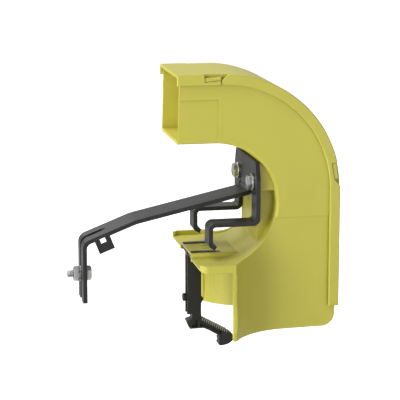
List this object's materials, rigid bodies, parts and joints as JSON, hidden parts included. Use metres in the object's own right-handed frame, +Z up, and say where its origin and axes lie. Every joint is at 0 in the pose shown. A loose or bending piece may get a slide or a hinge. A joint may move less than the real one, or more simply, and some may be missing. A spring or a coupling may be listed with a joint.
{
  "type": "fibre raceway trumpet drop fitting",
  "caption": "Moulded duct fitting that turns a level fibre run down into a flared trumpet mouth, with clip-on cover, steel hook bracket with forked arm, and small hanger with ribbed claw.",
  "frame": {"origin": "centre of the inlet opening, in the plane of its rim", "axes": "+X into the inlet, towards the outer side of the bend; +Z up; +Y across the duct, away from the side the picture shows"},
  "size_m": [0.2218, 0.136, 0.2357],
  "materials": {
    "duct_plastic": "satin",
    "cover_plastic": "satin",
    "bracket_steel": "satin black coating",
    "zinc": "bright zinc plate",
    "brass": "machined",
    "hanger_plastic": "satin"
  },
  "bodies": {
    "root": {"duct_base": "duct_plastic", "duct_cover": "cover_plastic", "mounting_bracket": "bracket_steel", "plate_bolt_near": "zinc", "plate_bolt_far": "zinc", "insert_near": "brass", "insert_far": "brass", "arm_bolt": "zinc", "arm_nut": "zinc", "arm_tooth_washer": "zinc", "hanger_post": "hanger_plastic", "hanger_claw": "hanger_plastic", "hanger_pin": "hanger_plastic"}
  },
  "joints": []
}
